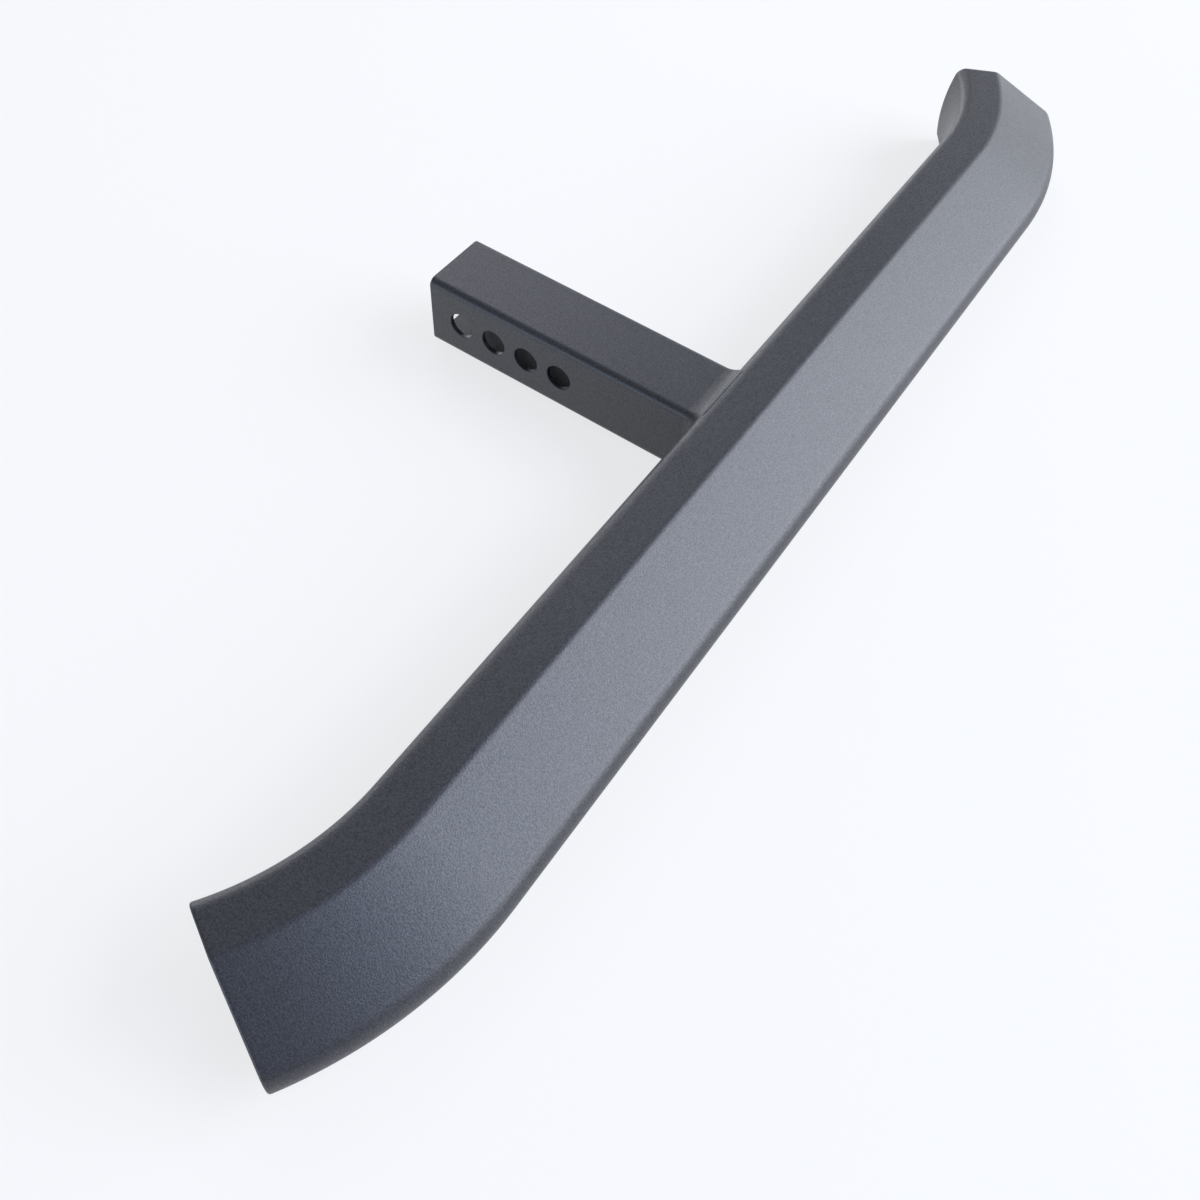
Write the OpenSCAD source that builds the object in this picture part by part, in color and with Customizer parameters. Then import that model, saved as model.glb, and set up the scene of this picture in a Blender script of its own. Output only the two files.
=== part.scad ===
// Hitch receiver step: a formed, bent step bar welded across a square drawbar.
// X runs along the bar and the pins, Y points from the bar to the vehicle, Z is up.
// The origin is the centre of the pin hole nearest the drawbar's free end.

/* [Step bar section] */

// Front to back depth of the bar section, nose to back (mm)
bar_depth = 84.1; // [78:0.1:100]
// Overall height of the bar section (mm)
bar_height = 62; // [58:0.5:70]
// Wall of the formed bar tube (mm)
bar_wall = 2.5; // [1.6:0.1:3.5]
// Distance of the top and bottom creases in front of the back (mm)
crease_setback = 32.4; // [30:0.1:40]
// Radius rolled into the creases (mm)
crease_radius = 8; // [6:0.5:10]
// Radius of the two back corners (mm)
back_corner_radius = 8; // [6:0.5:10]
// Radius of the shallow outward bow of the back (mm)
back_bow_radius = 120; // [60:1:160]
// Radius of the nose (mm)
nose_radius = 13; // [10:0.5:18]
// Drop of the nose centre below mid height (mm)
nose_drop = 6.5; // [0:0.5:9]

/* [Step bar bends] */

// Length of the straight run between the two bends (mm)
straight_length = 623; // [400:1:900]
// Inside radius of each bend, at the back of the bar (mm)
bend_radius = 152.4; // [100:0.2:240]
// Angle that each end sweeps back, up to the cut at the crease (degrees)
bend_angle = 34; // [20:0.5:45]
// Angle of the end cut from square to the straight run (degrees)
cut_angle = 27; // [15:0.5:45]
// Thickness of the welded end plates (mm)
plate_thickness = 3; // [2:0.5:4]

/* [Drawbar] */

// Outside size of the square drawbar tube (mm)
drawbar_size = 50.8; // [48:0.1:51]
// Wall of the drawbar tube (mm)
drawbar_wall = 3; // [2.5:0.1:4.5]
// Outside corner radius of the drawbar tube (mm)
drawbar_corner = 5; // [4.8:0.1:7]
// First pin hole to the back of the bar (mm)
pin_to_bar = 171.4; // [140:0.2:240]
// Free end of the drawbar to the first pin hole (mm)
pin_to_end = 24; // [18:1:60]
// Diameter of the pin holes (mm)
pin_hole_diameter = 17.5; // [16.3:0.1:19]
// Spacing of the pin holes (mm)
pin_hole_pitch = 25.4; // [24:0.1:32]
// Number of pin holes through each side
pin_hole_count = 4; // [1:1:4]
// Edge break round each pin hole (mm)
pin_hole_break = 0.4; // [0.2:0.1:0.8]

/* [Weld] */

// Leg of the weld along the drawbar (mm)
weld_leg = 5; // [3:0.5:6]
// Turn from a flat tangent weld face to the toe on the bar's back corner (degrees)
weld_toe_turn = 14; // [12:1:30]
// Rise of the weld's toe above the bar's back corner (mm)
weld_toe_rise = 0.5; // [0.4:0.1:0.8]
// Hollow of the weld's face: 1 leaves the drawbar at no angle, more is flatter
weld_hollow = 1.15; // [1.1:0.05:4]

/* [Hidden] */

$fn = 96;
fine = 4 * $fn;

// half sizes of the bar and the drawbar
bar_half = bar_height / 2;
tube_half = drawbar_size / 2;

// centres of the rolled corners, as distance in front of the back and height
bow_reach = back_bow_radius - back_corner_radius;
corner_lift = bar_half - back_corner_radius;
corner_in = back_bow_radius - sqrt(bow_reach * bow_reach - corner_lift * corner_lift);
bow_lean = asin(corner_lift / bow_reach);
nose_in = bar_depth - nose_radius;
upper_span = [nose_in - crease_setback, bar_half + nose_drop];
lower_span = [nose_in - crease_setback, bar_half - nose_drop];
upper_slope = atan2(upper_span[1], upper_span[0]) - asin(nose_radius / norm(upper_span));
lower_slope = atan2(lower_span[1], lower_span[0]) - asin(nose_radius / norm(lower_span));
upper_crease_in = crease_setback - crease_radius * tan(upper_slope / 2);
lower_crease_in = crease_setback - crease_radius * tan(lower_slope / 2);
crease_lift = bar_half - crease_radius;

// end of the drawbar inside the bar, and the weld's ends: distance out from
// the drawbar's face, distance in front of the back of the bar
cope_depth = corner_in;
weld_start = [0, -weld_leg];
to_corner = [corner_in + weld_leg, corner_lift - tube_half];
flat_weld_slope = atan2(to_corner[1], to_corner[0]) + asin(back_corner_radius / norm(to_corner));
toe_angle = flat_weld_slope + weld_toe_turn;
toe_lift = corner_lift + back_corner_radius * cos(toe_angle) + weld_toe_rise;
weld_toe = [
    max(toe_lift - tube_half, weld_leg / 2),
    corner_in - back_corner_radius * sin(toe_angle)
];
weld_chord = weld_toe - weld_start;
hollow_radius = weld_hollow * (weld_chord * weld_chord) / (2 * weld_toe[0]);

// where the end cut crosses the crease, and working sizes of cutters
crease_turn = bend_radius + crease_setback;
cut_place = [
    straight_length / 2 + crease_turn * sin(bend_angle),
    bend_radius - pin_to_bar - crease_turn * cos(bend_angle),
    0
];
spare_turn = 18;
reach = 2 * bar_depth;
through = drawbar_size * 2;

// centre of the circle of radius r that passes through a and b, on the left of a to b
function arc_centre(a, b, r) =
    let (chord = b - a, half = norm(chord) / 2, mid = (a + b) / 2)
    mid + sqrt(r * r - half * half) * [-chord[1], chord[0]] / norm(chord);

// bar section, distance in front of the back by height, shrunk by an inset
module bar_section(inset) {
    corner = back_corner_radius - inset;
    crease = crease_radius - inset;
    nose = nose_radius - inset;
    bow_high = [-cos(bow_lean), sin(bow_lean)];
    bow_low = [-cos(bow_lean), -sin(bow_lean)];
    bow_end = corner_lift + corner * sin(bow_lean);
    up = [0, 1];
    down = [0, -1];
    front_up = [sin(upper_slope), cos(upper_slope)];
    front_down = [sin(lower_slope), -cos(lower_slope)];
    top_corner = [corner_in, corner_lift];
    top_crease = [upper_crease_in, crease_lift];
    nose_centre = [nose_in, -nose_drop];
    low_crease = [lower_crease_in, -crease_lift];
    low_corner = [corner_in, -corner_lift];
    polygon([
        low_corner + corner * bow_low,
        low_corner + corner * down,
        low_crease + crease * down,
        low_crease + crease * front_down,
        nose_centre + nose * front_down,
        nose_centre + nose * front_up,
        top_crease + crease * front_up,
        top_crease + crease * up,
        top_corner + corner * up,
        top_corner + corner * bow_high
    ]);
    rolled_corner(low_corner, corner);
    rolled_corner(low_crease, crease);
    rolled_corner(nose_centre, nose);
    rolled_corner(top_crease, crease);
    rolled_corner(top_corner, corner);
    intersection() {
        translate([back_bow_radius, 0])
            circle(r = back_bow_radius - inset, $fn = fine);
        square([2 * corner_in, 2 * bow_end], center = true);
    }
}

// round between two flats, a hair proud so that it crosses them cleanly
module rolled_corner(centre, radius) {
    proud = 0.002;
    translate(centre)
        circle(r = radius + proud);
}

// wall of the bar tube
module bar_ring() {
    difference() {
        bar_section(0);
        bar_section(bar_wall);
    }
}

// centre of a bend: X is the radius towards the front, Y the way along the bar
module at_bend() {
    translate([straight_length / 2, bend_radius - pin_to_bar, 0])
        rotate([0, 0, -90])
            children();
}

// section run straight between the bends
module straight_run() {
    at_bend()
        rotate([90, 0, 0])
            translate([bend_radius, 0, 0])
                linear_extrude(straight_length)
                    children();
}

// section swept round a bend, well past the end cut
module bend() {
    at_bend()
        rotate_extrude(angle = bend_angle + spare_turn)
            translate([bend_radius, 0])
                children();
}

// everything beyond the end cut, moved back by a distance
module beyond_cut(back_off) {
    translate(cut_place)
        rotate([0, 0, cut_angle])
            translate([-back_off, -reach, -bar_height])
                cube([2 * reach, 2 * reach, 2 * bar_height]);
}

// one swept-back end of the bar tube
module swept_end() {
    difference() {
        bend()
            bar_ring();
        beyond_cut(plate_thickness);
    }
}

module step_bar() {
    color("#3b3c40")
    union() {
        straight_run()
            bar_ring();
        swept_end();
        mirror([1, 0, 0])
            swept_end();
    }
}

// flat plate that closes the cut end
module end_plate() {
    difference() {
        intersection() {
            bend()
                bar_section(0);
            beyond_cut(plate_thickness);
        }
        beyond_cut(0);
    }
}

module end_plate_right() {
    color("#414246")
    end_plate();
}

module end_plate_left() {
    color("#414246")
    mirror([1, 0, 0])
        end_plate();
}

// solid outline of the straight run, used to cope what meets its back
module bar_envelope() {
    straight_run()
        bar_section(0);
}

// square with rounded corners, centred
module rounded_rectangle(half_width, half_height, corner) {
    square([2 * (half_width - corner), 2 * half_height], center = true);
    square([2 * half_width, 2 * (half_height - corner)], center = true);
    for (side = [-1, 1], level = [-1, 1])
        translate([side * (half_width - corner), level * (half_height - corner)])
            circle(r = corner);
}

// shape in X and Z run along Y, between distances behind the first pin hole
module along_drawbar(near, far) {
    rotate([90, 0, 0])
        translate([0, 0, near])
            linear_extrude(far - near)
                children();
}

// outline of the drawbar from its free end into the bar
module drawbar_envelope() {
    along_drawbar(-pin_to_end, pin_to_bar + cope_depth)
        rounded_rectangle(tube_half, tube_half, drawbar_corner);
}

// one pin hole through both sides, with its edges broken
module pin_hole() {
    rotate([0, 90, 0])
        cylinder(h = through, d = pin_hole_diameter, center = true);
    for (side = [0, 1])
        mirror([side, 0, 0])
            translate([tube_half - pin_hole_break, 0, 0])
                rotate([0, 90, 0])
                    cylinder(
                        h = 2 * pin_hole_break,
                        d1 = pin_hole_diameter,
                        d2 = pin_hole_diameter + 4 * pin_hole_break
                    );
}

module drawbar_tube() {
    inner_half = tube_half - drawbar_wall;
    inner_corner = max(drawbar_corner - drawbar_wall, 0.5);
    color("#45464b")
    difference() {
        along_drawbar(-pin_to_end, pin_to_bar + cope_depth)
            difference() {
                rounded_rectangle(tube_half, tube_half, drawbar_corner);
                rounded_rectangle(inner_half, inner_half, inner_corner);
            }
        bar_envelope();
        for (step = [0 : pin_hole_count - 1])
            translate([0, -step * pin_hole_pitch, 0])
                pin_hole();
    }
}

// weld section: X out from the drawbar's face, Y in front of the back of the bar
module weld_section() {
    bite = 1;
    difference() {
        translate(weld_start - [bite, bite])
            square([weld_toe[0] + bite, weld_leg + cope_depth + bite]);
        translate(arc_centre(weld_toe, weld_start, hollow_radius))
            circle(r = hollow_radius, $fn = fine);
    }
}

// weld along one face of the drawbar and round its next corner
module weld_side() {
    flat = tube_half - drawbar_corner;
    translate([tube_half, flat, 0])
        rotate([90, 0, 0])
            linear_extrude(2 * flat)
                weld_section();
    translate([flat, flat, 0])
        rotate_extrude(angle = 90)
            translate([drawbar_corner, 0])
                weld_section();
}

module weld_fillet() {
    color("#38393d")
    difference() {
        translate([0, -pin_to_bar, 0])
            rotate([90, 0, 0])
                for (turn = [0, 90, 180, 270])
                    rotate(turn)
                        weld_side();
        drawbar_envelope();
        bar_envelope();
    }
}

step_bar();
end_plate_right();
end_plate_left();
drawbar_tube();
weld_fillet();
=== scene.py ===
import math

import bmesh
import bpy
from mathutils import Matrix, Vector


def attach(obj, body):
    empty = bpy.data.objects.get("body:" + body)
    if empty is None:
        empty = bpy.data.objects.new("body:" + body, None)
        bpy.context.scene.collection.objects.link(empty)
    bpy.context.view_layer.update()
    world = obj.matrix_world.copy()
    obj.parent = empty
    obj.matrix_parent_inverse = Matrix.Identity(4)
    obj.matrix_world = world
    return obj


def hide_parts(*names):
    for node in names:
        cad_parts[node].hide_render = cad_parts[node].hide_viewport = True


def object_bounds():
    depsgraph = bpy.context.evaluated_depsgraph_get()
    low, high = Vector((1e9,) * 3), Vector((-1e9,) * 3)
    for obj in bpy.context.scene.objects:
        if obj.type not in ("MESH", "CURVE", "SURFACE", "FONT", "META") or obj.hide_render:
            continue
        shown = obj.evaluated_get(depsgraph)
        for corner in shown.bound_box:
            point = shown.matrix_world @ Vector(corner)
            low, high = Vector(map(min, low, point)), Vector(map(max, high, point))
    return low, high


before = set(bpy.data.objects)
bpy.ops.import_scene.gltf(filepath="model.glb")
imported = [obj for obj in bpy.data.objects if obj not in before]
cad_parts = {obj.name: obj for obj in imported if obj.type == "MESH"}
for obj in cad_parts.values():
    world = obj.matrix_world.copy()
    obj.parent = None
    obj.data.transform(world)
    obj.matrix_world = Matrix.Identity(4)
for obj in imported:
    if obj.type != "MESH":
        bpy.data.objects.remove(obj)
cad_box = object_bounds()


# ---------------------------------------------------------------- Camera
# A phone held above the bar's left end looks down its length, over the drawbar's near side.
# The image is square, so one focal length in pixels gives the lens.
image_size = 1200
focal_pixels = 1184.0
sensor_width = 36.0
camera_place = Vector((-0.4644, -0.3744, 0.5339))
heading = math.radians(59.97)
dip = math.radians(55.65)
roll = math.radians(-5.15)

look = Vector((math.sin(heading) * math.cos(dip), math.cos(heading) * math.cos(dip), -math.sin(dip)))
level_right = Vector((math.cos(heading), -math.sin(heading), 0))
level_down = look.cross(level_right)
image_right = math.cos(roll) * level_right + math.sin(roll) * level_down
image_down = look.cross(image_right)

camera_data = bpy.data.cameras.new("camera")
camera_data.sensor_width = sensor_width
camera_data.lens = focal_pixels / image_size * sensor_width
camera_data.clip_start = 0.01
camera_data.clip_end = 30
camera = bpy.data.objects.new("camera", camera_data)
camera.matrix_world = Matrix.Translation(camera_place) @ Matrix((
    (image_right.x, -image_down.x, -look.x, 0),
    (image_right.y, -image_down.y, -look.y, 0),
    (image_right.z, -image_down.z, -look.z, 0),
    (0, 0, 0, 1),
))
bpy.context.scene.collection.objects.link(camera)
bpy.context.scene.camera = camera
bpy.context.scene.view_settings.view_transform = "Standard"


# ---------------------------------------------------------------- Floor and light
# White paper on the floor of a pale room, lit by one wide overcast window beyond the bar's nose.
# The sky beside it and the room's walls are softer lamps, so the coat shows long even gradients.
# The paper is seen and mirrored mostly by its own glow, and keeps the step's shadow.
floor_half = 6.0
floor_gap = 0.0003
paper_white = (0.88, 0.88, 0.89, 1)
paper_glow = (0.94, 0.945, 0.955, 1)
glow_share = 0.80
mirror_share = 0.75
wall_light = (0.90, 0.93, 1.0, 1)
wall_strength = 0.25


class Wire:
    """A socket of one material; sums and products of wires add its Math nodes."""

    def __init__(self, tree, socket=None):
        self.tree = tree
        self.socket = socket

    def node(self, kind, settings=None, sockets=None, out=0):
        made = self.tree.nodes.new("ShaderNode" + kind)
        for name, value in (settings or {}).items():
            setattr(made, name, value)
        for name, value in (sockets or {}).items():
            if isinstance(value, Wire):
                self.tree.links.new(value.socket, made.inputs[name])
            else:
                made.inputs[name].default_value = value
        return Wire(self.tree, made.outputs[out] if len(made.outputs) else None)

    def maths(self, operation, *values):
        return self.node("Math", {"operation": operation}, dict(enumerate(values)))

    def __add__(self, other):
        return self.maths("ADD", self, other)

    def __sub__(self, other):
        return self.maths("SUBTRACT", self, other)

    def __rsub__(self, other):
        return self.maths("SUBTRACT", other, self)

    def __mul__(self, other):
        return self.maths("MULTIPLY", self, other)

    __radd__ = __add__
    __rmul__ = __mul__


def new_material(name):
    made = bpy.data.materials.new(name)
    made.use_nodes = True
    made.node_tree.nodes.clear()
    return made, Wire(made.node_tree)


floor_height = cad_box[0].z - floor_gap
floor_mesh = bpy.data.meshes.new("floor")
corners = [(-1, -1), (1, -1), (1, 1), (-1, 1)]
floor_mesh.from_pydata(
    [(x * floor_half, y * floor_half, floor_height) for x, y in corners], [], [(0, 1, 2, 3)]
)
floor = bpy.data.objects.new("floor", floor_mesh)
bpy.context.scene.collection.objects.link(floor)

card, paper = new_material("white_paper")
lit_paper = paper.node("BsdfDiffuse", {}, {"Color": paper_white})
bright_paper = paper.node("Emission", {}, {"Color": paper_glow, "Strength": 1.0})
seen = paper.node("LightPath", {}, {}, "Is Camera Ray")
mirrored = paper.node("LightPath", {}, {}, "Is Glossy Ray")
glow = glow_share * seen + mirror_share * mirrored
paper_mix = glow.node("MixShader", {}, {0: glow, 1: lit_paper, 2: bright_paper})
paper.node("OutputMaterial", {}, {"Surface": paper_mix})
floor_mesh.materials.append(card)

world = bpy.data.worlds.new("room")
world.use_nodes = True
world.node_tree.nodes.clear()
air = Wire(world.node_tree)
walls = air.node("Background", {}, {"Color": wall_light, "Strength": wall_strength})
backdrop = air.node("Background", {}, {"Color": paper_glow, "Strength": 1.0})
seen = air.node("LightPath", {}, {}, "Is Camera Ray")
room = air.node("MixShader", {}, {0: seen, 1: walls, 2: backdrop})
air.node("OutputWorld", {}, {"Surface": room})
bpy.context.scene.world = world


light_target = Vector((0, -0.17, 0))


def softbox(name, bearing, height, distance, size, brightness, colour):
    """A flat lamp aimed at the joint, of even brightness; bearing from +X and height in degrees."""
    turn, rise = math.radians(bearing), math.radians(height)
    toward = Vector((math.cos(turn) * math.cos(rise), math.sin(turn) * math.cos(rise), math.sin(rise)))
    lamp = bpy.data.lights.new(name, "AREA")
    lamp.shape = "RECTANGLE"
    lamp.size, lamp.size_y = size
    lamp.energy = brightness * math.pi * size[0] * size[1]
    lamp.color = colour
    holder = bpy.data.objects.new(name, lamp)
    holder.location = light_target + distance * toward
    holder.rotation_euler = (-toward).to_track_quat("-Z", "Y").to_euler()
    bpy.context.scene.collection.objects.link(holder)


softbox("window", bearing=-55, height=30, distance=6.0, size=(6.2, 4.6),
        brightness=7.1, colour=(0.88, 0.92, 1.0))
softbox("open_sky", bearing=-80, height=50, distance=5.0, size=(4.6, 2.8),
        brightness=1.4, colour=(0.20, 0.48, 1.0))
softbox("far_wall", bearing=46, height=40, distance=5.0, size=(2.6, 2.2),
        brightness=2.3, colour=(0.92, 0.93, 1.0))
softbox("far_corner", bearing=-2, height=9, distance=5.0, size=(3.4, 1.8),
        brightness=2.1, colour=(0.92, 0.97, 1.0))
softbox("back_wall", bearing=60, height=8, distance=5.0, size=(4.6, 1.0),
        brightness=5.0, colour=(0.88, 0.93, 1.0))
softbox("left_wall", bearing=166, height=8, distance=5.0, size=(3.4, 0.9),
        brightness=7.0, colour=(0.62, 0.78, 1.0))


# ---------------------------------------------------------------- Drawbar
# Square steel tube, sawn off square, drilled across for the cross pin.
# Everything is welded first and then powder coated in one fine-grained satin grey.
coat_grey = (0.015, 0.015, 0.019, 1)
coat_light = (0.036, 0.035, 0.043, 1)
coat_relief = 0.0004
speck_size, peel_size, cloud_size = 0.0009, 0.004, 0.09


def powder_coat(name):
    """Dark satin powder coat: fine specks, a faint orange peel and slow clouds of tone."""
    made, coat = new_material(name)
    place = coat.node("TexCoord", {}, {}, "Object")

    def grain(size, detail):
        sockets = {"Vector": place, "Scale": 1 / size, "Detail": detail, "Roughness": 0.55}
        return place.node("TexNoise", {}, sockets, "Fac")

    speck = grain(speck_size, 2.0)
    cloud = grain(cloud_size, 2.0)
    peel = grain(peel_size, 1.0)
    tone = 0.5 + 2.0 * (speck - 0.5) + 0.5 * (cloud - 0.5)
    colour = tone.node("Mix", {"data_type": "RGBA"}, {0: tone, 6: coat_grey, 7: coat_light}, 2)
    height = speck * 0.8 + peel * 0.3
    normal = height.node("Bump", {}, {"Height": height, "Strength": 0.5, "Distance": coat_relief})
    binder = 0.20 + 1.5 * (speck - 0.5)
    binder = binder.node("Clamp", {}, {"Value": binder})
    shader = coat.node("BsdfPrincipled", {}, {
        "Base Color": colour,
        "Roughness": 0.40 + 0.10 * speck,
        "IOR": 1.55,
        "Coat Weight": binder,
        "Coat Roughness": 0.40,
        "Normal": normal,
    })
    coat.node("OutputMaterial", {}, {"Surface": shader})
    return made


def dress(node, material):
    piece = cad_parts[node]
    piece.data.materials.clear()
    piece.data.materials.append(material)


dress("drawbar_tube", powder_coat("drawbar_powder_coat"))


# ---------------------------------------------------------------- Weld
# The drawbar is welded all round to the bowed back of the bar.
# The bead is dressed to a hollow fillet above and below and coated over.
dress("weld_fillet", powder_coat("weld_powder_coat"))


# ---------------------------------------------------------------- Step bar
# One steel tube, formed to its flats and nose and bent back at both ends.
# Its skin is swept from the section, so that the coat runs over clean even curves.
bar_depth, bar_height, bar_wall = 0.0841, 0.062, 0.0025
crease_setback, crease_radius, back_corner_radius = 0.0324, 0.008, 0.008
back_bow_radius, nose_radius, nose_drop = 0.120, 0.013, 0.0065
bar_back = 0.1714
straight_length, bend_radius = 0.623, 0.1524
bend_angle, cut_angle = math.radians(34), math.radians(27)
plate_thickness = 0.003
bend_rings = 28
edge_support = 0.0005

bar_half = bar_height / 2
corner_lift = bar_half - back_corner_radius
bow_reach = back_bow_radius - back_corner_radius
corner_in = back_bow_radius - math.sqrt(bow_reach ** 2 - corner_lift ** 2)
bow_lean = math.degrees(math.asin(corner_lift / bow_reach))
nose_in = bar_depth - nose_radius
crease_lift = bar_half - crease_radius
bend_centre = Vector((straight_length / 2, bend_radius - bar_back))
cut_reach = (bend_radius + crease_setback) * math.sin(bend_angle - cut_angle)


def facet_slope(rise):
    """Slope in degrees of the flat that leaves a crease and meets the nose, rise below it."""
    run = nose_in - crease_setback
    return math.degrees(math.atan2(rise, run) - math.asin(nose_radius / math.hypot(run, rise)))


upper_slope = facet_slope(bar_half + nose_drop)
lower_slope = facet_slope(bar_half - nose_drop)


def crease_centre(slope, side):
    return (crease_setback - crease_radius * math.tan(math.radians(slope / 2)), side * crease_lift)


def bar_section(inset):
    """Points round the section, front of the back by height, shrunk by an inset.

    Each arc is a centre, a radius, two angles and a number of steps. A point close to each end
    of a flat keeps the flat flat under smooth shading.
    """
    arcs = [
        ((corner_in, corner_lift), back_corner_radius, 90, 180 - bow_lean, 12),
        ((back_bow_radius, 0), back_bow_radius, 180 - bow_lean, 180 + bow_lean, 12),
        ((corner_in, -corner_lift), back_corner_radius, 180 + bow_lean, 270, 12),
        (crease_centre(lower_slope, -1), crease_radius, 270, 270 + lower_slope, 6),
        ((nose_in, -nose_drop), nose_radius, 270 + lower_slope, 450 - upper_slope, 22),
        (crease_centre(upper_slope, 1), crease_radius, 450 - upper_slope, 450, 6),
    ]
    points = []
    for (front, height), radius, start, stop, steps in arcs:
        for step in range(steps + 1):
            turn = math.radians(start + (stop - start) * step / steps)
            way = Vector((math.cos(turn), math.sin(turn)))
            points.append(Vector((front, height)) + (radius - inset) * way)
    supported = []
    for here, ahead in zip(points, points[1:] + points[:1]):
        gap = ahead - here
        if gap.length < 1e-6:
            continue
        supported.append(here)
        if gap.length > 8 * edge_support:
            inward = edge_support * gap.normalized()
            supported += [here + inward, ahead - inward]
    return supported


def in_bend(point, share, back_off):
    """A section point turned round the right-hand bend, by a share of its way to the cut."""
    radius = bend_radius + point.x
    turn = share * (cut_angle + math.asin((cut_reach - back_off) / radius))
    return Vector((
        bend_centre.x + radius * math.sin(turn),
        bend_centre.y - radius * math.cos(turn),
        point.y,
    ))


def bar_rings(inset):
    """Rings of the bar's skin from its left cut to its right cut, less the end plates."""
    section = bar_section(inset)
    right = [[in_bend(point, ring / bend_rings, plate_thickness) for point in section]
             for ring in range(bend_rings + 1)]
    left = [[Vector((-place.x, place.y, place.z)) for place in ring] for ring in reversed(right)]
    return left + right


def skin(name, rings, closed):
    """A tube of quads through the rings; closed joins the last ring to the first, else capped."""
    count = len(rings[0])
    places = [place for ring in rings for place in ring]
    faces = []
    for ring in range(len(rings) if closed else len(rings) - 1):
        low, high = ring * count, (ring + 1) % len(rings) * count
        for step in range(count):
            ahead = (step + 1) % count
            faces.append((low + step, low + ahead, high + ahead, high + step))
    if not closed:
        faces.append(tuple(reversed(range(count))))
        faces.append(tuple(range(len(places) - count, len(places))))
    mesh = bpy.data.meshes.new(name)
    mesh.from_pydata(places, [], faces)
    shaper = bmesh.new()
    shaper.from_mesh(mesh)
    bmesh.ops.recalc_face_normals(shaper, faces=shaper.faces)
    shaper.to_mesh(mesh)
    shaper.free()
    mesh.shade_smooth()
    mesh.set_sharp_from_angle(angle=math.radians(40))
    piece = bpy.data.objects.new(name, mesh)
    bpy.context.scene.collection.objects.link(piece)
    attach(piece, "root")
    return piece


bar_skin = skin("bar_skin", bar_rings(0) + bar_rings(bar_wall)[::-1], closed=True)
bar_skin.data.materials.append(powder_coat("bar_powder_coat"))
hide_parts("step_bar")


# ---------------------------------------------------------------- End plates
# A flat plate is welded into each cut end, ground flush and rounded at its rim before coating.
rim_radius = 0.0015
rim_steps = 6
plate_coat = powder_coat("plate_powder_coat")


def plate_rings(side):
    """Rings of a plate from its inner face over the rounded rim to its outer face."""
    rings = [[in_bend(point, 1, plate_thickness) for point in bar_section(0)]]
    for step in range(rim_steps + 1):
        turn = math.radians(90 * step / rim_steps)
        section = bar_section(rim_radius * (1 - math.cos(turn)))
        back_off = rim_radius * (1 - math.sin(turn))
        rings.append([in_bend(point, 1, back_off) for point in section])
    rings.append([in_bend(point, 1, 0) for point in bar_section(rim_radius + edge_support)])
    return [[Vector((side * place.x, place.y, place.z)) for place in ring] for ring in rings]


for node, side in (("end_plate_right", 1), ("end_plate_left", -1)):
    plate = skin(node + "_ground", plate_rings(side), closed=False)
    plate.data.materials.append(plate_coat)
    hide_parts(node)
